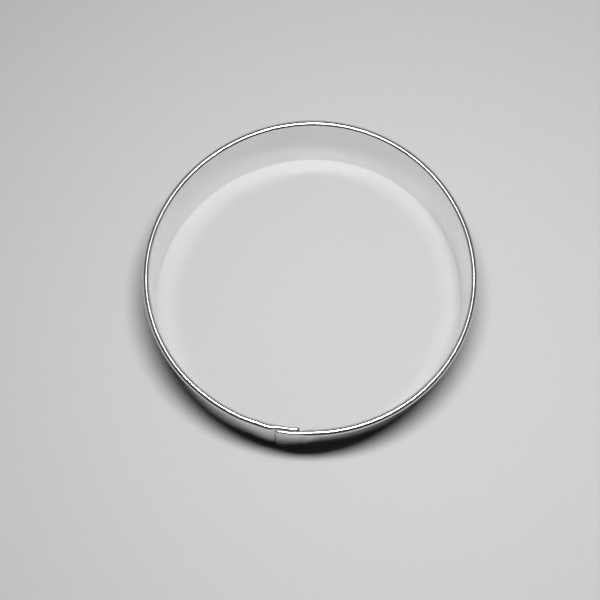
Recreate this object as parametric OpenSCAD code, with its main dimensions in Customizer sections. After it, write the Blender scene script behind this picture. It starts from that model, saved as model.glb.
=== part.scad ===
// Round biscuit cutter: one strip of tinplate with a rolled hem, bent to a ring,
// lapped at the front and closed with three spot welds.
// Millimetres. The cutting edge lies on z = 0, and the ring's axis is the z axis.

/* [Ring] */
// Outside diameter over the rolled rim
cutter_d = 88.9; // [60:0.1:150]
// Height from the cutting edge to the top of the rim
cutter_h = 23.8; // [21:0.1:60]

/* [Sheet] */
// Thickness of the tinplate
sheet_t = 0.3; // [0.25:0.01:0.35]

/* [Rolled hem] */
// Width of the rim, from the wall's inner face to the outside of the roll
hem_w = 1.88; // [1.4:0.01:2.2]
// Depth of the hem, from the top of the rim to the edge that is folded under
hem_drop = 2.4; // [2.2:0.05:3.2]
// Clearance between the folded edge and the wall
hem_gap = 0.05; // [0.03:0.01:0.1]

/* [Lap joint] */
// Length over which the two ends of the strip lie on each other
lap_len = 5.4; // [4.5:0.1:9]
// Plan angle of the middle of the lap, anticlockwise from the x axis
lap_at = 263.8; // [200:0.1:340]
// Width of the rim where the hem is pressed narrower at the lap
lap_hem_w = 1.05; // [0.85:0.01:1.1]
// Clearance between the two layers
lap_gap = 0.05; // [0.03:0.01:0.1]
// How far the outer end stands out from the ring
lap_out = 0.78; // [0.3:0.01:0.9]
// Length over which it comes out, half of it ahead of the lap
out_len = 4.5; // [3:0.1:8]
// Length of the step by which the inner end goes in behind the outer one
joggle_len = 2.2; // [1:0.1:4]
// Free length between that step and the end of the outer layer
joggle_clear = 0.1; // [0.05:0.05:1]
// Height over which the inner layer leans out, below its hem, to lie on the outer one
lean_h = 4; // [2.5:0.1:6]
// Thickness that pressing takes off the sheet at the lap
pressed_off = 0.04; // [0.02:0.01:0.05]

/* [Spot welds] */
// Diameter of a weld nugget
weld_d = 2.2; // [1.5:0.1:2.4]
// Depth of a nugget into each layer
weld_depth = 0.1; // [0.06:0.01:0.11]
// Height of the lowest weld above the cutting edge, and depth of the highest below the lean
weld_edge = 3; // [2:0.1:3.5]
// Diameter of the shallow mark that the welding electrode leaves on each face
mark_d = 2.6; // [1.6:0.1:3]
// Depth of that mark
mark_depth = 0.05; // [0.04:0.01:0.06]

/* [Hidden] */
// Steps over the top half of the hem's roll, and on from there to the folded leg
roll_steps = 12;
tuck_steps = 3;
// Steps over the height of the lean, over a joggle, and along the lap
lean_steps = 6;
joggle_steps = 8;
lap_steps = 8;
// Length by which a pressed end runs on inside the plain ring, and stays plain outside it
root_len = 0.5;

lap_t = sheet_t - pressed_off;
wall_r = cutter_d / 2 - hem_w + sheet_t / 2;
lap_from = lap_at - turn(lap_len) / 2;
lap_to = lap_at + turn(lap_len) / 2;
joggle_from = lap_from - turn(joggle_clear + joggle_len);
ring_to = joggle_from - turn(root_len);
out_from = lap_to + turn(out_len) / 2;
ring_from = out_from + turn(root_len);

// Height at which the hem ends and the lean begins, and height at which the lean has met the wall
lean_top = cutter_h - hem_drop - sheet_t;
lean_foot = lean_top - lean_h;
lean_levels = [for (i = [0:lean_steps]) lean_foot + lean_h * i / lean_steps];

// How far the inner layer stands in from the outer one, below the lean and at the hem
step_low = lap_t + lap_gap;
step_high = lap_hem_w - sheet_t + lap_t + lap_gap;

// Radius of the outer layer's middle at the welds, and of the inner end of a nugget
seam_r = wall_r + lap_shift(lap_at);
weld_r = seam_r - lap_t / 2 - lap_gap - weld_depth;
weld_len = lap_gap + 2 * weld_depth;
weld_z = [weld_edge, lean_foot / 2, lean_foot - weld_edge];

tinplate = [0.79, 0.80, 0.81];
weld_metal = [0.62, 0.62, 0.64];
$fn = 180;

// Plan angle that a length along the wall takes
function turn(len) = len / wall_r * 180 / PI;
// Eased step from 0 to 1
function ease(u) = let (v = max(0, min(1, u))) v * v * (3 - 2 * v);
// How far the lap stands out from the ring at a plan angle
function lap_shift(a) = lap_out * ease((out_from - a) / turn(out_len));

// Radius of the hem's roll, at the middle of the sheet, for a rim of width w
function roll_r(w) = (w - sheet_t) / 2;
// Tilt that brings the folded leg in from the roll until its edge is hem_gap off the wall
function leg_tilt(w) =
    let (
        inner_r = roll_r(w) - sheet_t / 2,
        down = hem_drop - w / 2,
        over = inner_r - hem_gap
    )
    atan2(over, down) + asin(inner_r / norm([over, down]));
function leg_len(w) =
    (hem_drop - w / 2 - (roll_r(w) - sheet_t / 2) * sin(leg_tilt(w))) / cos(leg_tilt(w));
function roll_angles(tilt) = concat(
    [for (i = [0:roll_steps]) 180 - 180 * i / roll_steps],
    [for (i = [1:tuck_steps]) -tilt * i / tuck_steps]
);
// The sheet's middle line in section, as [out from the wall's middle, height, direction of the
// face that the hem hides]. It climbs the wall, goes round the roll and comes down the folded leg.
// w is the rim's width, trim the length cut off the folded edge, and levels the extra heights
// that the wall needs points at.
function middle_line(w, trim, levels) =
    let (
        roll_z = cutter_h - w / 2,
        tilt = leg_tilt(w),
        leg = leg_len(w) - trim
    )
    [
        for (z = concat([0], levels)) [0, z, 0],
        for (a = roll_angles(tilt))
            [roll_r(w) * (1 + cos(a)), roll_z + roll_r(w) * sin(a), a + 180],
        [
            roll_r(w) * (1 + cos(tilt)) - leg * sin(tilt),
            roll_z - roll_r(w) * sin(tilt) - leg * cos(tilt),
            180 - tilt
        ]
    ];
// The sheet's two faces in section: up the face on the inside of the ring, back down the other
function face(line, off) = [for (p = line) [p[0] + off * cos(p[2]), p[1] + off * sin(p[2])]];
function outline(line, t) =
    let (back = face(line, t / 2), n = len(line))
    concat(face(line, -t / 2), [for (i = [n - 1:-1:0]) back[i]]);

// One pressed end of the strip. stations are [plan angle, rim width, step out at the cutting edge,
// step out at the hem], in rising order of angle.
function step_out(station, z) =
    station[2] + (station[3] - station[2]) * ease((z - lean_foot) / lean_h);
module pressed_end(stations) {
    rings = [
        for (s = stations)
            [for (p = outline(middle_line(s[1], pressed_off, lean_levels), lap_t))
                let (r = wall_r + p[0] + step_out(s, p[1]))
                [r * cos(s[0]), r * sin(s[0]), p[1]]]
    ];
    points = [for (ring = rings) each ring];
    count = len(rings[0]);
    pairs = count / 2;
    last = (len(rings) - 1) * count;
    sides = [
        for (k = [0:len(rings) - 2], i = [0:count - 1])
            let (a = k * count + i, b = k * count + (i + 1) % count)
            each [[a, b + count, b], [a, a + count, b + count]]
    ];
    first_cap = [
        for (i = [0:pairs - 2])
            let (j = count - 1 - i)
            each [[i, j - 1, j], [i, i + 1, j - 1]]
    ];
    last_cap = [
        for (i = [0:pairs - 2])
            let (j = count - 1 - i)
            each [[last + i, last + j, last + j - 1], [last + i, last + j - 1, last + i + 1]]
    ];
    polyhedron(points = points, faces = concat(sides, first_cap, last_cap), convexity = 6);
}

// Plan angles of the stations along the lap
lap_angles = [for (i = [0:lap_steps]) lap_from + (lap_to - lap_from) * i / lap_steps];

// The end that goes in behind: it steps in, and then follows the outer one
module inner_end() {
    pressed_end([
        [ring_to - turn(root_len), hem_w, 0, 0],
        for (i = [0:joggle_steps])
            let (u = ease(i / joggle_steps), a = joggle_from + turn(joggle_len) * i / joggle_steps)
            [
                a,
                hem_w + (lap_hem_w - hem_w) * u,
                (lap_shift(a) - step_low) * u,
                (lap_shift(a) - step_high) * u
            ],
        for (a = lap_angles)
            [a, lap_hem_w, lap_shift(a) - step_low, lap_shift(a) - step_high]
    ]);
}

// The end that lies outside: it comes out a little, and its hem narrows
module outer_end() {
    pressed_end([
        for (a = lap_angles)
            [a, lap_hem_w, lap_shift(a), lap_shift(a)],
        for (i = [1:joggle_steps])
            let (a = lap_to + (out_from - lap_to) * i / joggle_steps)
            [a, lap_hem_w + (hem_w - lap_hem_w) * ease(i / joggle_steps), lap_shift(a), lap_shift(a)],
        [ring_from + turn(root_len), hem_w, 0, 0]
    ]);
}

module plain_ring() {
    rotate([0, 0, ring_from])
        rotate_extrude(angle = 360 - (ring_from - ring_to))
            translate([wall_r, 0])
                polygon(outline(middle_line(hem_w, 0, []), sheet_t));
}

module nugget(z) {
    rotate([0, 0, lap_at])
        translate([weld_r, 0, z])
            rotate([0, 90, 0])
                cylinder(d = weld_d, h = weld_len);
}

// The electrodes' marks: a shallow round cut into the outer layer and one into the inner layer
module electrode_marks(z) {
    outside_r = seam_r + lap_t / 2;
    inside_r = seam_r - step_low - lap_t / 2;
    rotate([0, 0, lap_at]) {
        translate([outside_r - mark_depth, 0, z])
            rotate([0, 90, 0])
                cylinder(d = mark_d, h = sheet_t);
        translate([inside_r + mark_depth - sheet_t, 0, z])
            rotate([0, 90, 0])
                cylinder(d = mark_d, h = sheet_t);
    }
}

module tinplate_band() {
    color(tinplate)
        difference() {
            union() {
                plain_ring();
                inner_end();
                outer_end();
            }
            for (z = weld_z) {
                nugget(z);
                electrode_marks(z);
            }
        }
}

module spot_weld(i) {
    color(weld_metal) nugget(weld_z[i]);
}

tinplate_band();
spot_weld(0);  // spot_weld_lower
spot_weld(1);  // spot_weld_middle
spot_weld(2);  // spot_weld_upper
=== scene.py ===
import math
from types import SimpleNamespace

import bpy
import numpy as np
from bpy.props import FloatProperty, FloatVectorProperty, PointerProperty
from bpy.types import Operator, Panel, PropertyGroup
from mathutils import Matrix, Vector


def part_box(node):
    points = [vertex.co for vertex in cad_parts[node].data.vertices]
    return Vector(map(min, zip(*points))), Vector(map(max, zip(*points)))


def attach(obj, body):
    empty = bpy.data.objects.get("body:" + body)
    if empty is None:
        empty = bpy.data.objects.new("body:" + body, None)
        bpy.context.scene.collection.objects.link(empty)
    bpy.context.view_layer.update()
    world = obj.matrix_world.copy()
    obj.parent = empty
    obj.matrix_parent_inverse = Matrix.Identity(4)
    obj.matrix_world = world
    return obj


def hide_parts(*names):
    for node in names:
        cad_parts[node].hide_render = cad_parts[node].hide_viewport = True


bl_info = {
    "name": "Biscuit Cutter",
    "version": (1, 0, 0),
    "blender": (4, 5, 0),
    "location": "View3D > Sidebar > Biscuit Cutter",
    "description": "Dresses a round tinplate biscuit cutter and sets it in a small soft studio",
    "category": "Object",
}

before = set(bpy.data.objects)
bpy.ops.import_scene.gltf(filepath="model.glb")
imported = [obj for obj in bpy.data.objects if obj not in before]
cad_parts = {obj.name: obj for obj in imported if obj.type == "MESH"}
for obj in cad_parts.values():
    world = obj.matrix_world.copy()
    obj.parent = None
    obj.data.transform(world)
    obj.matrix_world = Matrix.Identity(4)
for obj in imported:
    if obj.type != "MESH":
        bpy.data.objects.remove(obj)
LOW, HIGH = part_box("tinplate_band")
WELDS = ("spot_weld_lower", "spot_weld_middle", "spot_weld_upper")
MM = 0.001
WHITE = (1.0, 1.0, 1.0, 1.0)

# The band's mesh: steps round the ring and near the lap, how far round from the lap the near ones
# go, rows up the wall, round the roll of the hem and down its folded leg, and the least angle that
# shades as an edge
RING_STEP = math.radians(1.0)
LAP_STEP = math.radians(0.2)
NEAR_LAP = math.radians(9.0)
WALL_ROWS = 60
ROLL_ROWS = 22
LEG_ROWS = 5
SHARP_ANGLE = math.radians(38.0)

# How far the bent ring is out of round at the rim and at the cutting edge, as waves of so many to
# the turn (cosine, sine). The edge also flares a little all round, as a wave of 0 to the turn.
RIM_WAVES = (
    (1, 0.0, 0.06 * MM),
    (2, 0.186 * MM, 0.219 * MM),
    (3, -0.114 * MM, -0.058 * MM),
    (4, 0.065 * MM, -0.030 * MM),
)
EDGE_WAVES = (
    (0, 0.22 * MM, 0.0),
    (2, 0.297 * MM, 0.519 * MM),
    (3, -0.071 * MM, 0.085 * MM),
    (4, 0.058 * MM, -0.043 * MM),
)

# Stretches over which the hem comes back and draws in, ahead of the inner layer's joggle: how far
# out each brings it, the plan angle at which it starts, and its run
HEM_STRETCHES = (
    (0.08 * MM, math.radians(253.0), math.radians(3.0)),
    (-0.21 * MM, math.radians(214.0), math.radians(22.0)),
    (-0.11 * MM, math.radians(246.0), math.radians(6.0)),
)

# Angle over which the inner layer's lean gets shorter, centred where it goes in behind the outer one
LEAN_CHANGE = math.radians(1.2)

# What the cut does to the hem at the strip's ends: the lengths over which it pinches the hem and
# rounds its top, how much narrower it leaves the rim, how far out, and how far the top drops
PINCH_RUN = 0.7 * MM
ROUNDING_RUN = 0.8 * MM
INNER_END_NARROWER = 0.34 * MM
OUTER_END_NARROWER = 0.22 * MM
INNER_END_OUT = 0.16 * MM
INNER_END_DROP = 0.45 * MM
OUTER_END_DROP = 0.40 * MM

# Width of the soft border of a weld's mark
MARK_BORDER = 0.9 * MM

# How far round a weld the tin is dulled, and how much painted shade darkens the wall where the strip was
# pressed
DULLED_ROUND_WELD = 2.4 * MM
SHADE_WHERE_PRESSED = 0.85

# The painted shadow in a line down the seam: how far it lies beyond the outer layer's end, its half
# width, the depth below the top of the rim at which it starts, and the length over which it comes in
SEAM_BEYOND_END = 0.2 * MM
SEAM_HALF_WIDTH = 0.27 * MM
SEAM_TOP = 1.6 * MM
SEAM_RUN = 1.0 * MM

# Painted shade on the two pressed hems in the lap: how much all over each, and how much more on the side
# that faces the other. That comes in from a facing, and over a run of it, where 1 is a face that
# looks straight at the other hem and 0 is one that looks along it.
INNER_HEM_SHADE = 0.45
OUTER_HEM_SHADE = 0.2
GROOVE_SHADE = 0.25
GROOVE_FACING = 0.2
GROOVE_RUN = 0.5

# Darkest and lightest share of its colour in each finish's faint pattern, the two values that most
# of a pattern lies between, how far a pattern moves the tinplate's roughness, and the two ends of
# the weld metal's
TIN_SHADES = (0.965, 1.02)
WELD_SHADES = (0.85, 1.15)
FLOOR_SHADES = (0.985, 1.015)
PATTERN_SPAN = (0.25, 0.75)
ROUGHNESS_SPREAD = 0.02
WELD_ROUGHNESS = (0.45, 0.6)

# The rolling lines: their colour over the tin, how strongly it shows, their relief, and how
# strongly that turns the light
LINE_COLOUR = (0.95, 0.95, 0.955, 1.0)
LINE_STRENGTH = 0.5
LINE_RELIEF = 0.02 * MM
LINE_BUMP = 0.03

# Share of the tin that the painted shade on the seam and the pressed hems hides where it is thickest
PAINTED_SHADE_COVER = 0.9

# Depths below the top of the rim, in widths of the rim, at which the hem's rougher finish begins
# and is there in full
HEM_FINISH = (1.1, 0.6)

# Angles above the room's leaned horizon at which it begins to darken and is as dark as it gets
CEILING_SPAN = (math.radians(4.0), math.radians(26.0))


def ease(u):
    """Eased step from 0 to 1, on a number or an array."""
    v = np.clip(u, 0.0, 1.0)
    return v * v * (3.0 - 2.0 * v)


# Settings

class CUTTER_PG_band(PropertyGroup):
    """Sizes of the tinplate band"""

    diameter: FloatProperty(
        name="Diameter",
        description="Outside diameter over the rolled rim",
        default=HIGH.x - LOW.x,
        unit="LENGTH",
    )
    height: FloatProperty(
        name="Height",
        description="From the cutting edge to the top of the rim",
        default=HIGH.z - LOW.z,
        unit="LENGTH",
    )
    sheet: FloatProperty(
        name="Sheet", description="Thickness of the tinplate", default=0.30 * MM, unit="LENGTH"
    )
    pressed_sheet: FloatProperty(
        name="Pressed sheet",
        description="Thickness of the tinplate where the lap is pressed",
        default=0.26 * MM,
        unit="LENGTH",
    )
    edge_break: FloatProperty(
        name="Edge break",
        description="Small chamfer left on the cut edges",
        default=0.04 * MM,
        unit="LENGTH",
    )
    rim_width: FloatProperty(
        name="Rim width", description="Width over the rolled hem", default=1.88 * MM, unit="LENGTH"
    )
    lap_rim_width: FloatProperty(
        name="Rim width at the lap",
        description="Width over the hem where it is pressed narrower",
        default=1.05 * MM,
        unit="LENGTH",
    )
    hem_depth: FloatProperty(
        name="Hem depth",
        description="From the top of the rim to the edge that is folded under",
        default=2.4 * MM,
        unit="LENGTH",
    )
    hem_flatness: FloatProperty(
        name="Hem flatness",
        description="Height of the hem's roll as a share of that of a round one",
        default=0.9,
        min=0.5,
        max=1.0,
    )
    hem_gap: FloatProperty(
        name="Hem gap",
        description="Clearance between the folded edge and the wall",
        default=0.05 * MM,
        unit="LENGTH",
    )


class CUTTER_PG_lap(PropertyGroup):
    """Sizes of the lap and its welds"""

    start: FloatProperty(
        name="Lap start",
        description="Plan angle of the outer layer's end",
        default=math.radians(259.88),
        subtype="ANGLE",
    )
    end: FloatProperty(
        name="Lap end",
        description="Plan angle of the inner layer's end",
        default=math.radians(268.0),
        subtype="ANGLE",
    )
    gap: FloatProperty(
        name="Layer gap", description="Clearance between the layers", default=0.05 * MM, unit="LENGTH"
    )
    out: FloatProperty(
        name="Stand out",
        description="How far the outer layer's hem stands out from the ring",
        default=0.45 * MM,
        unit="LENGTH",
    )
    out_pressed: FloatProperty(
        name="Pressed stand out",
        description="How much further the wall stands out where the hem is pressed narrower",
        default=0.40 * MM,
        unit="LENGTH",
    )
    out_low: FloatProperty(
        name="Stand out low down",
        description="How far the outer layer stands out at the cutting edge",
        default=0.60 * MM,
        unit="LENGTH",
    )
    out_from: FloatProperty(
        name="Stand-out start",
        description="Plan angle at which the outer layer begins to come out",
        default=math.radians(272.0),
        subtype="ANGLE",
    )
    low_from: FloatProperty(
        name="Low stand-out start",
        description="Plan angle at which the outer layer begins to come out at the cutting edge",
        default=math.radians(276.0),
        subtype="ANGLE",
    )
    out_turn: FloatProperty(
        name="Stand-out run",
        description="Angle over which the outer layer comes out",
        default=math.radians(7.5),
        subtype="ANGLE",
    )
    press_turn: FloatProperty(
        name="Press run",
        description="Angle over which the outer layer's hem is pressed narrower, ahead of the lap",
        default=math.radians(2.97),
        subtype="ANGLE",
    )
    joggle_end: FloatProperty(
        name="Joggle end",
        description="Plan angle at which the inner layer has stepped in",
        default=math.radians(260.5),
        subtype="ANGLE",
    )
    joggle_turn: FloatProperty(
        name="Joggle run",
        description="Angle over which the inner layer steps in",
        default=math.radians(2.9),
        subtype="ANGLE",
    )
    foot_end: FloatProperty(
        name="Foot end",
        description="Plan angle at which the inner layer's foot has come out, ahead of the joggle",
        default=math.radians(256.5),
        subtype="ANGLE",
    )
    foot_turn: FloatProperty(
        name="Foot run",
        description="Angle over which the inner layer's foot comes out",
        default=math.radians(7.0),
        subtype="ANGLE",
    )
    lean: FloatProperty(
        name="Lean",
        description="Height over which the inner layer leans out below its hem",
        default=4.0 * MM,
        unit="LENGTH",
    )
    tilt: FloatProperty(
        name="Tilt",
        description="Height below the hem over which the wall near the lap tilts",
        default=18.0 * MM,
        unit="LENGTH",
    )
    mark_radius: FloatProperty(
        name="Weld mark radius",
        description="Radius of an electrode's mark",
        default=1.3 * MM,
        unit="LENGTH",
    )
    mark_depth: FloatProperty(
        name="Weld mark depth",
        description="Depth of an electrode's mark",
        default=0.008 * MM,
        unit="LENGTH",
    )


class CUTTER_PG_finish(PropertyGroup):
    """Colours and gloss of the finishes"""

    tin: FloatVectorProperty(
        name="Tinplate",
        description="Colour that the tinned face mirrors",
        default=(0.80, 0.815, 0.812),
        subtype="COLOR",
    )
    roughness: FloatProperty(
        name="Tinplate roughness",
        description="Roughness of the satin face",
        default=0.12,
        min=0.0,
        max=1.0,
    )
    rolled_roughness: FloatProperty(
        name="Rolled roughness",
        description="Roughness of the hem, which the rolls and handling have dulled",
        default=0.208,
        min=0.0,
        max=1.0,
    )
    # Dulled tin round the welds, and painted shade on the wall where the strip was pressed
    dulled_and_shade: FloatVectorProperty(
        name="Dulled tinplate",
        description="Colour of the tin round the welds and where the strip was pressed",
        default=(0.43, 0.44, 0.44),
        subtype="COLOR",
    )
    # Colour of the painted shadow down the seam and of the painted shade on the pressed hems
    seam: FloatVectorProperty(
        name="Seam",
        description="Colour of the dirt that the seam holds",
        default=(0.08, 0.08, 0.08),
        subtype="COLOR",
    )
    weld: FloatVectorProperty(
        name="Weld", description="Colour of the weld metal", default=(0.40, 0.40, 0.42), subtype="COLOR"
    )


class CUTTER_PG_stage(PropertyGroup):
    """The floor, the lamp, the room and the camera"""

    floor: FloatVectorProperty(
        name="Floor", description="Colour of the floor", default=(0.62, 0.62, 0.62), subtype="COLOR"
    )
    floor_size: FloatProperty(
        name="Floor size", description="Side of the floor", default=1.6, unit="LENGTH"
    )
    key_place: FloatVectorProperty(
        name="Key place",
        description="Middle of the soft key lamp",
        default=(0.0115, -0.0175, 0.38),
        subtype="TRANSLATION",
    )
    key_turn: FloatVectorProperty(
        name="Key turn",
        description="Tilt of the key lamp about x and about y",
        size=2,
        default=(math.radians(0.0), math.radians(-13.0)),
        subtype="EULER",
    )
    key_width: FloatProperty(
        name="Key width", description="Width of the key lamp", default=0.173, unit="LENGTH"
    )
    key_depth: FloatProperty(
        name="Key depth", description="Depth of the key lamp", default=0.042, unit="LENGTH"
    )
    key_power: FloatProperty(
        name="Key power", description="Power of the key lamp in watts", default=1.54
    )
    fill: FloatProperty(
        name="Fill", description="Strength of the dim light that the room throws", default=0.015
    )
    room: FloatProperty(
        name="Room", description="Brightness of the pale room, as seen and as mirrored", default=0.56
    )
    ceiling: FloatProperty(
        name="Ceiling", description="Brightness of the dark room overhead, as mirrored", default=0.06
    )
    ceiling_lean: FloatProperty(
        name="Ceiling lean",
        description="How far the dark part of the room leans from overhead to the front",
        default=math.radians(18.0),
        subtype="ANGLE",
    )
    camera_distance: FloatProperty(
        name="Camera distance",
        description="From the middle of the ring's base",
        default=0.356980,
        unit="LENGTH",
    )
    camera_elevation: FloatProperty(
        name="Camera elevation",
        description="Angle of the camera above the floor",
        default=math.radians(73.0461),
        subtype="ANGLE",
    )
    camera_azimuth: FloatProperty(
        name="Camera azimuth",
        description="Angle of the camera round the ring, from the front",
        default=math.radians(-1.3),
        subtype="ANGLE",
    )
    camera_pan: FloatProperty(
        name="Camera pan", description="Turn to the right", default=math.radians(-0.414), subtype="ANGLE"
    )
    camera_tilt: FloatProperty(
        name="Camera tilt", description="Turn upward", default=math.radians(-0.122), subtype="ANGLE"
    )
    camera_roll: FloatProperty(
        name="Camera roll",
        description="Turn about the view",
        default=math.radians(3.3124),
        subtype="ANGLE",
    )
    camera_lens: FloatProperty(
        name="Camera lens",
        description="Focal length in millimetres, on a sensor 36 mm wide",
        default=75.31,
    )


# The band's shape

def wall_middle(band):
    """Radius of the middle of the wall on the plain part of the ring."""
    return band.diameter / 2 - band.rim_width + band.sheet / 2


def waves(turn, terms):
    """How far the ring is out of round at a plan angle."""
    return sum(c * np.cos(n * turn) + s * np.sin(n * turn) for n, c, s in terms)


def plan_angle(turn):
    """The angle along the strip as a plan angle from 0 to a full turn."""
    return np.where(turn < 0, turn + 2 * math.pi, turn)


def come_out(plan, start, lap):
    """Share of the stand-out, from a start angle on the way to the outer layer's end."""
    return ease((start - plan) / (start - lap.out_from + lap.out_turn))


def foot_out(turn, lap):
    """Share by which the inner layer's foot has come out, ahead of the joggle."""
    return ease((turn - lap.foot_end) / lap.foot_turn + 1)


def inner_shift(plan):
    """How far the hem stands off the ring on the way to the inner layer's joggle."""
    return sum(out * ease((plan - start) / run) for out, start, run in HEM_STRETCHES)


def strip_turns(lap):
    """Angles along the strip, from the inner layer's end round to the outer layer's end."""
    first = np.arange(lap.end, lap.start - NEAR_LAP, -LAP_STEP)
    last_fine = lap.end + NEAR_LAP - 2 * math.pi
    middle = np.arange(first[-1] - RING_STEP, last_fine, -RING_STEP)
    stop = lap.start - 2 * math.pi
    count = int(math.ceil((middle[-1] - stop) / LAP_STEP))
    last = np.linspace(middle[-1], stop, count + 1)[1:]
    return np.concatenate([first, middle, last])


def strip_stations(band, lap):
    """Stations along the strip. Each has its angle, its rim width and sheet thickness, how far the
    top of the rim drops, how far the wall stands off the ring at the cutting edge and at the hem,
    how much of that is the inner layer's lean just below its hem, and the height of that lean."""
    turn = strip_turns(lap)
    plan = plan_angle(turn)
    outer_end = turn < 0

    stepped = ease((turn - lap.joggle_end) / lap.joggle_turn + 1)
    pressed = ease((lap.end - plan) / lap.press_turn + 1) * outer_end
    narrow = stepped + pressed
    width = band.rim_width + (band.lap_rim_width - band.rim_width) * narrow
    sheet = band.sheet + (band.pressed_sheet - band.sheet) * narrow

    out = come_out(plan, lap.out_from, lap)
    out_low = lap.out_low * come_out(plan, lap.low_from, lap)
    step_low = band.pressed_sheet + lap.gap
    step_high = band.lap_rim_width - band.sheet + band.pressed_sheet + lap.gap
    unstepped = np.where(outer_end, lap.out * out, inner_shift(plan))
    low = np.where(outer_end, out_low, (out_low - step_low) * foot_out(turn, lap))
    high = unstepped + (lap.out * out - step_high - unstepped) * stepped + lap.out_pressed * narrow
    in_lap = ease((turn - lap.start) / LEAN_CHANGE + 0.5)
    narrower, further_out, drop = cut_ends(turn, wall_middle(band))
    return SimpleNamespace(
        turn=turn,
        width=width - narrower,
        sheet=sheet,
        drop=drop,
        low=low,
        high=high + further_out,
        lean=(step_low - step_high) * stepped,
        lean_run=lap.lean + (lap.tilt - lap.lean) * (1 - in_lap),
    )


def cut_ends(turn, radius):
    """What the cut does to the hem near the strip's ends: how much narrower it leaves the rim, how
    much further out, and how far its top drops."""
    from_inner_end = (turn[0] - turn) * radius
    from_outer_end = (turn - turn[-1]) * radius
    inner_pinch = 1 - ease(from_inner_end / PINCH_RUN)
    outer_pinch = 1 - ease(from_outer_end / PINCH_RUN)
    narrower = INNER_END_NARROWER * inner_pinch + OUTER_END_NARROWER * outer_pinch
    drop = INNER_END_DROP * rounded_end(from_inner_end / ROUNDING_RUN)
    drop = drop + OUTER_END_DROP * rounded_end(from_outer_end / ROUNDING_RUN)
    return narrower, INNER_END_OUT * inner_pinch, drop


def rounded_end(u):
    """Drop of a rounded end, from 1 at the very end to 0 a length of 1 away from it."""
    v = 1 - np.clip(u, 0.0, 1.0)
    return 1 - np.sqrt(1 - v * v)


def hem_leg(width, band):
    """Tilt and length of the folded leg that comes down from the roll to the wall."""
    roll = (width - band.sheet) / 2
    bend = roll - band.sheet / 2
    depth = band.sheet / 2 + (band.hem_depth - band.sheet / 2) / band.hem_flatness
    down = depth - width / 2
    over = bend - band.hem_gap
    tilt = np.arctan2(over, down) + np.arcsin(np.clip(bend / np.hypot(over, down), -1, 1))
    length = (down - bend * np.sin(tilt)) / np.cos(tilt)
    return roll, tilt, length


def middle_line(width, drop, band):
    """The sheet's middle line at every station: out from the wall, height, and face direction. The
    hem is laid out round, and then flattened from its top."""
    roll, tilt, leg = hem_leg(width, band)
    top = band.height - band.sheet / 2 - drop
    roll_z = top - roll * band.hem_flatness
    rise = np.concatenate([[0.0], np.linspace(band.edge_break / band.height, 1.0, WALL_ROWS)[:-1]])
    wall_out = np.zeros((len(width), len(rise)))
    wall_z = roll_z[:, None] * rise[None, :]
    wall_dir = np.zeros_like(wall_out)

    share = np.linspace(0.0, 1.0, ROLL_ROWS)
    angle = math.pi - (math.pi + tilt[:, None]) * share[None, :]
    roll_out = roll[:, None] * (1 + np.cos(angle))
    roll_up = roll[:, None] * np.sin(angle)

    along = leg[:, None] * np.linspace(0.0, 1.0, LEG_ROWS + 1)[None, 1:]
    leg_out = roll_out[:, -1:] - along * np.sin(tilt)[:, None]
    leg_up = roll_up[:, -1:] - along * np.cos(tilt)[:, None]
    leg_dir = np.repeat((math.pi - tilt)[:, None], LEG_ROWS, axis=1)

    hem_z = roll_z[:, None] + np.concatenate([roll_up, leg_up], axis=1) * band.hem_flatness
    round_dir = np.concatenate([angle + math.pi, leg_dir], axis=1)
    hem_dir = np.arctan2(np.sin(round_dir) / band.hem_flatness, np.cos(round_dir))
    return (
        np.concatenate([wall_out, roll_out, leg_out], axis=1),
        np.concatenate([wall_z, hem_z], axis=1),
        np.concatenate([wall_dir, hem_dir], axis=1),
    )


def weld_heights():
    """Heights of the welds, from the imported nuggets."""
    return [(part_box(name)[0].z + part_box(name)[1].z) / 2 for name in WELDS]


def weld_distance(turn, z, band, lap):
    """Distance of each point of the wall from the nearest weld's axis."""
    middle = (lap.start + lap.end) / 2
    across = (plan_angle(turn) - middle) * wall_middle(band)
    return np.min([np.hypot(across, z - height) for height in weld_heights()], axis=0)


def weld_dimple(near_weld, lap):
    """Depth of the electrodes' marks in the wall."""
    dimple = lap.mark_depth * (1 - ease((near_weld - lap.mark_radius + MARK_BORDER) / MARK_BORDER))
    dimple[:, WALL_ROWS:] = 0.0
    return dimple


def stand_off(strip, z, band, lap):
    """How far each point stands off the plain ring."""
    lean_top = band.height - band.hem_depth - band.sheet
    tilted = ease((z - lean_top) / lap.tilt + 1)
    leaned = ease((z - lean_top) / strip.lean_run[:, None] + 1)
    tilt = strip.high - strip.lean - strip.low
    shift = strip.low[:, None] + tilt[:, None] * tilted + strip.lean[:, None] * leaned
    at_rim = waves(strip.turn, RIM_WAVES)[:, None]
    at_edge = waves(strip.turn, EDGE_WAVES)[:, None]
    return shift + at_edge + (at_rim - at_edge) * z / band.height


def dulled_and_shade_share(turn, near_weld, lap):
    """How far the tin is dulled round the welds, and how much painted shade darkens the wall where the
    strip was pressed.
    """
    dulled_and_shade = np.exp(-((near_weld / DULLED_ROUND_WELD) ** 2))
    outer = come_out(plan_angle(turn), lap.low_from, lap)
    # Painted shade on the wall where the strip was pressed
    pressed = SHADE_WHERE_PRESSED * np.where(turn < 0, outer, foot_out(turn, lap))
    dulled_and_shade[:, :WALL_ROWS] = np.maximum(dulled_and_shade[:, :WALL_ROWS], pressed[:, None])
    return dulled_and_shade


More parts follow.
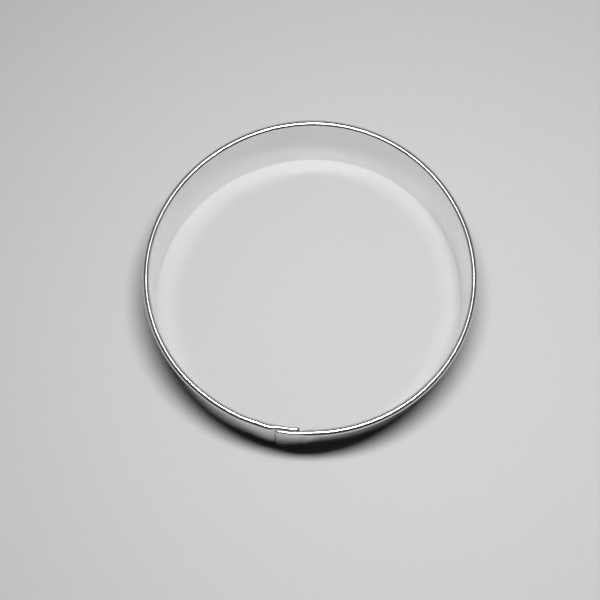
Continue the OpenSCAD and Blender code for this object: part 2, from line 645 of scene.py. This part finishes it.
def painted_shade_share(turn, z, direction, band, lap):
    """How much painted shade there is: a painted shadow in a line down the seam, and painted shade on the
    two pressed hems in the lap.
    """
    plan = plan_angle(turn)
    across = (plan - lap.start) * wall_middle(band) + SEAM_BEYOND_END
    line = np.exp(-((across / SEAM_HALF_WIDTH) ** 2))[:, None]
    line = line * ease((band.height - z - SEAM_TOP) / SEAM_RUN)

    on_inner_layer = inner_layer(turn)
    outward = -np.cos(direction)
    facing = np.where(on_inner_layer, outward, -outward)
    # Painted shade on the pressed hems, most on the sides that face each other
    hem_shade = np.where(on_inner_layer, INNER_HEM_SHADE, OUTER_HEM_SHADE)
    in_lap = (plan >= lap.start) * ease((lap.end - plan) / lap.press_turn + 1)
    groove = (hem_shade + GROOVE_SHADE * ease((facing - GROOVE_FACING) / GROOVE_RUN)) * in_lap[:, None]
    groove[:, :WALL_ROWS] = 0.0
    return np.maximum(line, groove)


def inner_layer(turn):
    """Which stations lie on the half of the strip that ends as the inner layer, as a column."""
    return (turn > math.pi)[:, None]


def both_faces(first, second):
    """Up one face of the sheet and back down the other."""
    return np.concatenate([first, second[:, ::-1]], axis=1)


def band_points(band, lap):
    """Points of the strip's two faces, station by station, with what the finish needs."""
    strip = strip_stations(band, lap)
    out, z, direction = middle_line(strip.width, strip.drop, band)
    base = wall_middle(band) + out + stand_off(strip, z, band, lap)
    half = np.repeat(strip.sheet[:, None] / 2, out.shape[1], axis=1)
    half[:, [0, -1]] -= band.edge_break
    near_weld = weld_distance(strip.turn[:, None], z, band, lap)
    dimple = weld_dimple(near_weld, lap)

    radii = []
    heights = []
    for side in (-1, 1):
        pressed_face = (side < 0) == inner_layer(strip.turn)
        radii.append(base + side * half * np.cos(direction) - side * dimple * pressed_face)
        heights.append(z + side * half * np.sin(direction))
    # Duller tin round the welds with painted shade on the pressed wall, and painted shade down the seam
    # and on the pressed hems
    marks = {
        "dulled_and_shade": dulled_and_shade_share(strip.turn, near_weld, lap),
        "seam": painted_shade_share(strip.turn, z, direction, band, lap),
    }
    marks = {name: both_faces(value, value) for name, value in marks.items()}
    return strip.turn, both_faces(*radii), both_faces(*heights), marks


def strip_mesh(name, turn, radius, height, marks, ring_radius):
    """A closed mesh from the swept outline, with its length and girth as the texture map."""
    stations, count = radius.shape
    x = radius * np.cos(turn)[:, None]
    y = radius * np.sin(turn)[:, None]
    points = np.stack([x, y, height], axis=-1).reshape(-1, 3)

    k = np.arange(stations - 1)[:, None] * count
    i = np.arange(count)[None, :]
    j = (i + 1) % count
    sides = np.stack([k + i, k + j, k + count + j, k + count + i], axis=-1).reshape(-1, 4)
    a = np.arange(count // 2 - 1)
    b = count - 1 - a
    first_cap = np.stack([a, b, b - 1, a + 1], axis=-1)
    last = (stations - 1) * count
    last_cap = np.stack([last + a, last + a + 1, last + b - 1, last + b], axis=-1)
    faces = np.concatenate([sides, first_cap, last_cap])

    mesh = bpy.data.meshes.new(name)
    mesh.from_pydata(points.tolist(), [], faces.tolist())
    mesh.update()

    girth = np.concatenate([[0.0], np.cumsum(np.hypot(np.diff(radius[0]), np.diff(height[0])))])
    along = (turn[0] - turn) * ring_radius
    uv = np.stack(np.broadcast_arrays(along[:, None], girth[None, :]), axis=-1).reshape(-1, 2)
    corner = np.empty(len(mesh.loops), dtype=np.int64)
    mesh.loops.foreach_get("vertex_index", corner)
    layer = mesh.uv_layers.new(name="strip")
    layer.data.foreach_set("uv", uv[corner].astype(np.float32).ravel())

    for mark, value in marks.items():
        layer = mesh.attributes.new(mark, "FLOAT", "POINT")
        layer.data.foreach_set("value", value.astype(np.float32).ravel())
    mesh.set_sharp_from_angle(angle=SHARP_ANGLE)
    return mesh


# Finishes

def new_material(name):
    """A material with only a surface shader: itself, its node tree and that shader."""
    material = bpy.data.materials.new(name)
    material.use_nodes = True
    shader = next(n for n in material.node_tree.nodes if n.type == "BSDF_PRINCIPLED")
    return material, material.node_tree, shader


def put(tree, value, socket):
    """Sets a number or a colour on a socket, or links another socket to it."""
    if isinstance(value, (float, tuple)):
        socket.default_value = value
    else:
        tree.links.new(value, socket)


def space(tree, kind):
    """A texture space: the strip's own map, the object's, or the room's."""
    return tree.nodes.new("ShaderNodeTexCoord").outputs[kind]


def attribute(tree, name):
    """A mark that the mesh carries."""
    mark = tree.nodes.new("ShaderNodeAttribute")
    mark.attribute_name = name
    return mark.outputs["Fac"]


def noise(tree, source, scale, detail, stretch=(1.0, 1.0, 1.0)):
    """Noise in a texture space, finer along an axis with a larger stretch."""
    mapping = tree.nodes.new("ShaderNodeMapping")
    texture = tree.nodes.new("ShaderNodeTexNoise")
    put(tree, source, mapping.inputs["Vector"])
    put(tree, stretch, mapping.inputs["Scale"])
    put(tree, mapping.outputs["Vector"], texture.inputs["Vector"])
    put(tree, scale, texture.inputs["Scale"])
    put(tree, detail, texture.inputs["Detail"])
    return texture.outputs["Fac"]


def ranged(tree, value, span, low, high, kind="LINEAR"):
    """A value spread between two others, from one end of its span to the other."""
    spread = tree.nodes.new("ShaderNodeMapRange")
    spread.interpolation_type = kind
    put(tree, value, spread.inputs["Value"])
    put(tree, span[0], spread.inputs["From Min"])
    put(tree, span[1], spread.inputs["From Max"])
    put(tree, low, spread.inputs["To Min"])
    put(tree, high, spread.inputs["To Max"])
    return spread.outputs["Result"]


def mixed(tree, factor, first, second, blend="MIX"):
    """A colour between two others, or one blended with another."""
    mix = tree.nodes.new("ShaderNodeMix")
    mix.data_type = "RGBA"
    mix.blend_type = blend
    put(tree, factor, mix.inputs["Factor"])
    put(tree, first, mix.inputs["A"])
    put(tree, second, mix.inputs["B"])
    return mix.outputs["Result"]


def combined(tree, operation, first, second, clamp=False):
    """Two values added, multiplied or compared."""
    node = tree.nodes.new("ShaderNodeMath")
    node.operation = operation
    node.use_clamp = clamp
    put(tree, first, node.inputs[0])
    put(tree, second, node.inputs[1])
    return node.outputs["Value"]


def shaded(colour, share=1.0):
    """A colour made lighter or darker, as red, green, blue and alpha."""
    return tuple(min(1.0, c * share) for c in colour) + (1.0,)


def patterned(tree, pattern, colour, shades):
    """A colour that goes from one shade of itself to another over a pattern."""
    return mixed(tree, pattern, shaded(colour, shades[0]), shaded(colour, shades[1]))


def tinplate_material(finish, band):
    """Satin tinplate: soft haze, rolling lines along the strip, duller tin at the welds, painted shade on
    the wall where the strip was pressed, a painted shadow down the seam, painted shade on the pressed
    hems, and a rougher hem."""
    material, tree, shader = new_material("tinplate_satin")
    shader.inputs["Metallic"].default_value = 1.0
    # The rolling draws a highlight out along the rim
    shader.inputs["Anisotropic"].default_value = 0.85
    place = space(tree, "Object")
    haze = noise(tree, place, scale=110.0, detail=3.0)
    lines = noise(tree, space(tree, "UV"), scale=1.0, detail=4.0, stretch=(40.0, 9000.0, 1.0))

    hazy = patterned(tree, ranged(tree, haze, PATTERN_SPAN, 0.0, 1.0), finish.tin, TIN_SHADES)
    line_colour = mixed(tree, lines, LINE_COLOUR, WHITE)
    lined = mixed(tree, LINE_STRENGTH, hazy, line_colour, blend="MULTIPLY")
    # Duller tin round the welds, and painted shade on the wall where the strip was pressed
    dulled_and_shade = mixed(tree, attribute(tree, "dulled_and_shade"), lined, shaded(finish.dulled_and_shade))
    # Painted shadow down the seam and painted shade on the pressed hems in the lap
    painted_shade = combined(tree, "MULTIPLY", attribute(tree, "seam"), PAINTED_SHADE_COVER)
    put(tree, mixed(tree, painted_shade, dulled_and_shade, shaded(finish.seam)), shader.inputs["Base Color"])

    split = tree.nodes.new("ShaderNodeSeparateXYZ")
    put(tree, place, split.inputs["Vector"])
    hem_span = [band.height - depth * band.rim_width for depth in HEM_FINISH]
    rough = ranged(tree, split.outputs["Z"], hem_span, finish.roughness, finish.rolled_roughness)
    for pattern in (haze, lines):
        change = ranged(tree, pattern, PATTERN_SPAN, -ROUGHNESS_SPREAD, ROUGHNESS_SPREAD)
        rough = combined(tree, "ADD", rough, change)
    put(tree, rough, shader.inputs["Roughness"])

    bump = tree.nodes.new("ShaderNodeBump")
    put(tree, LINE_BUMP, bump.inputs["Strength"])
    put(tree, LINE_RELIEF, bump.inputs["Distance"])
    put(tree, lines, bump.inputs["Height"])
    put(tree, bump.outputs["Normal"], shader.inputs["Normal"])
    return material


def weld_material(finish):
    """Dull weld metal with a fine grain."""
    material, tree, shader = new_material("weld_metal_grain")
    shader.inputs["Metallic"].default_value = 1.0
    grain = noise(tree, space(tree, "Object"), scale=4000.0, detail=4.0)
    put(tree, patterned(tree, grain, finish.weld, WELD_SHADES), shader.inputs["Base Color"])
    put(tree, ranged(tree, grain, PATTERN_SPAN, *WELD_ROUGHNESS), shader.inputs["Roughness"])
    return material


def floor_material(stage):
    """Matt pale paper with a very faint mottle."""
    material, tree, shader = new_material("floor_paper")
    shader.inputs["Roughness"].default_value = 0.9
    shader.inputs["Specular IOR Level"].default_value = 0.15
    mottle = noise(tree, space(tree, "Object"), scale=260.0, detail=5.0)
    put(tree, patterned(tree, mottle, stage.floor, FLOOR_SHADES), shader.inputs["Base Color"])
    return material


def room_world(stage):
    """A room that throws little light. It is seen, and mirrored in metal, as pale low down and dark
    overhead."""
    world = bpy.data.worlds.new("room")
    world.use_nodes = True
    tree = world.node_tree
    background = tree.nodes["Background"]
    put(tree, WHITE, background.inputs["Color"])

    up = tree.nodes.new("ShaderNodeVectorMath")
    up.operation = "DOT_PRODUCT"
    put(tree, space(tree, "Generated"), up.inputs[0])
    put(tree, (0.0, -math.sin(stage.ceiling_lean), math.cos(stage.ceiling_lean)), up.inputs[1])
    span = [math.sin(angle) for angle in CEILING_SPAN]
    room = ranged(tree, up.outputs["Value"], span, stage.room, stage.ceiling, kind="SMOOTHSTEP")

    # The room shows to rays that come from the camera, a mirroring face or glass, and haven't met a
    # matt surface before. All others meet the dim fill.
    path = tree.nodes.new("ShaderNodeLightPath").outputs
    seen = combined(tree, "ADD", path["Is Camera Ray"], path["Is Glossy Ray"])
    through = combined(tree, "ADD", seen, path["Is Transmission Ray"])
    half_a_bounce = 0.5
    direct = combined(tree, "LESS_THAN", path["Diffuse Depth"], half_a_bounce)
    shown = combined(tree, "MULTIPLY", through, direct, clamp=True)
    strength = tree.nodes.new("ShaderNodeMix")
    put(tree, shown, strength.inputs["Factor"])
    put(tree, stage.fill, strength.inputs["A"])
    put(tree, room, strength.inputs["B"])
    put(tree, strength.outputs["Result"], background.inputs["Strength"])
    return world


def give_material(piece, material):
    """Makes the material the only one on a piece."""
    piece.data.materials.clear()
    piece.data.materials.append(material)


def add_object(name, data):
    """A new object in the scene."""
    piece = bpy.data.objects.new(name, data)
    bpy.context.scene.collection.objects.link(piece)
    return piece


# Operators

class CUTTER_OT_band(Operator):
    """Makes the bent strip with its rolled hem and lap"""

    bl_idname = "cutter.band"
    bl_label = "Tinplate Band"

    def execute(self, context):
        band = context.scene.cutter_band
        lap = context.scene.cutter_lap
        turn, radius, height, marks = band_points(band, lap)
        mesh = strip_mesh("tinplate_strip", turn, radius, height, marks, wall_middle(band))
        piece = add_object("tinplate_strip", mesh)
        give_material(piece, tinplate_material(context.scene.cutter_finish, band))
        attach(piece, "root")
        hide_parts("tinplate_band")
        return {"FINISHED"}


class CUTTER_OT_welds(Operator):
    """Finishes the weld nuggets inside the lap"""

    bl_idname = "cutter.welds"
    bl_label = "Spot Welds"

    def execute(self, context):
        material = weld_material(context.scene.cutter_finish)
        for name in WELDS:
            give_material(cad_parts[name], material)
        return {"FINISHED"}


class CUTTER_OT_stage(Operator):
    """Makes the floor, the lamp, the room and the camera"""

    bl_idname = "cutter.stage"
    bl_label = "Stage"

    def execute(self, context):
        stage = context.scene.cutter_stage
        self.add_floor(stage)
        self.add_lights(context, stage)
        self.add_camera(context, stage)
        context.scene.view_settings.view_transform = "Standard"
        return {"FINISHED"}

    def add_floor(self, stage):
        """A flat sheet just under the cutting edge."""
        half = stage.floor_size / 2
        drop = 0.02 * MM
        corners = [(-half, -half, -drop), (half, -half, -drop), (half, half, -drop), (-half, half, -drop)]
        mesh = bpy.data.meshes.new("floor")
        mesh.from_pydata(corners, [], [(0, 1, 2, 3)])
        floor = add_object("floor", mesh)
        give_material(floor, floor_material(stage))

    def add_lights(self, context, stage):
        """One small soft key lamp over the ring, and a dim room."""
        lamp = bpy.data.lights.new("key", "AREA")
        lamp.shape = "ELLIPSE"
        lamp.size = stage.key_width
        lamp.size_y = stage.key_depth
        lamp.energy = stage.key_power
        key = add_object("key", lamp)
        key.location = stage.key_place
        key.rotation_euler = (stage.key_turn[0], stage.key_turn[1], 0.0)
        # Light that the bright wall throws on the floor keeps its edge
        context.scene.cycles.blur_glossy = 0.0
        context.scene.world = room_world(stage)

    def add_camera(self, context, stage):
        """The camera, aimed at the middle of the ring's base and then turned a little."""
        rise, pan, tilt, roll = (
            stage.camera_elevation,
            stage.camera_pan,
            stage.camera_tilt,
            stage.camera_roll,
        )
        place = Vector((0.0, -math.cos(rise), math.sin(rise))) * stage.camera_distance
        ahead = -place.normalized()
        right = Vector((1.0, 0.0, 0.0))
        up = right.cross(ahead)
        ahead = ahead * math.cos(pan) * math.cos(tilt) + right * math.sin(pan) * math.cos(tilt)
        ahead = (ahead + up * math.sin(tilt)).normalized()
        right = ahead.cross(up).normalized()
        up = right.cross(ahead)
        side = right * math.cos(roll) + up * math.sin(roll)
        top = up * math.cos(roll) - right * math.sin(roll)
        data = bpy.data.cameras.new("camera")
        data.sensor_width = 36.0
        data.lens = stage.camera_lens
        data.clip_start = 0.01
        camera = add_object("camera", data)
        turn = Matrix((side, top, -ahead)).transposed()
        round_ring = Matrix.Rotation(stage.camera_azimuth, 4, "Z")
        camera.matrix_world = round_ring @ Matrix.Translation(place) @ turn.to_4x4()
        context.scene.camera = camera


class CUTTER_PT_panel(Panel):
    """Lists the pieces of the cutter and its stage"""

    bl_idname = "CUTTER_PT_panel"
    bl_label = "Biscuit Cutter"
    bl_space_type = "VIEW_3D"
    bl_region_type = "UI"
    bl_category = "Biscuit Cutter"

    def draw(self, context):
        layout = self.layout
        for group in SETTINGS:
            box = layout.box()
            settings = getattr(context.scene, group)
            for name in settings.bl_rna.properties.keys():
                if name not in ("rna_type", "name"):
                    box.prop(settings, name)
        for operator in OPERATORS:
            layout.operator(operator.bl_idname)


SETTINGS = {
    "cutter_band": CUTTER_PG_band,
    "cutter_lap": CUTTER_PG_lap,
    "cutter_finish": CUTTER_PG_finish,
    "cutter_stage": CUTTER_PG_stage,
}
OPERATORS = (CUTTER_OT_band, CUTTER_OT_welds, CUTTER_OT_stage)


def register():
    for name, group in SETTINGS.items():
        bpy.utils.register_class(group)
        setattr(bpy.types.Scene, name, PointerProperty(type=group))
    for operator in OPERATORS:
        bpy.utils.register_class(operator)
    bpy.utils.register_class(CUTTER_PT_panel)


def unregister():
    bpy.utils.unregister_class(CUTTER_PT_panel)
    for operator in reversed(OPERATORS):
        bpy.utils.unregister_class(operator)
    for name, group in reversed(SETTINGS.items()):
        delattr(bpy.types.Scene, name)
        bpy.utils.unregister_class(group)


def main():
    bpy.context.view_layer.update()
    register()
    bpy.ops.cutter.band()
    bpy.ops.cutter.welds()
    bpy.ops.cutter.stage()


if __name__ == "__main__":
    main()
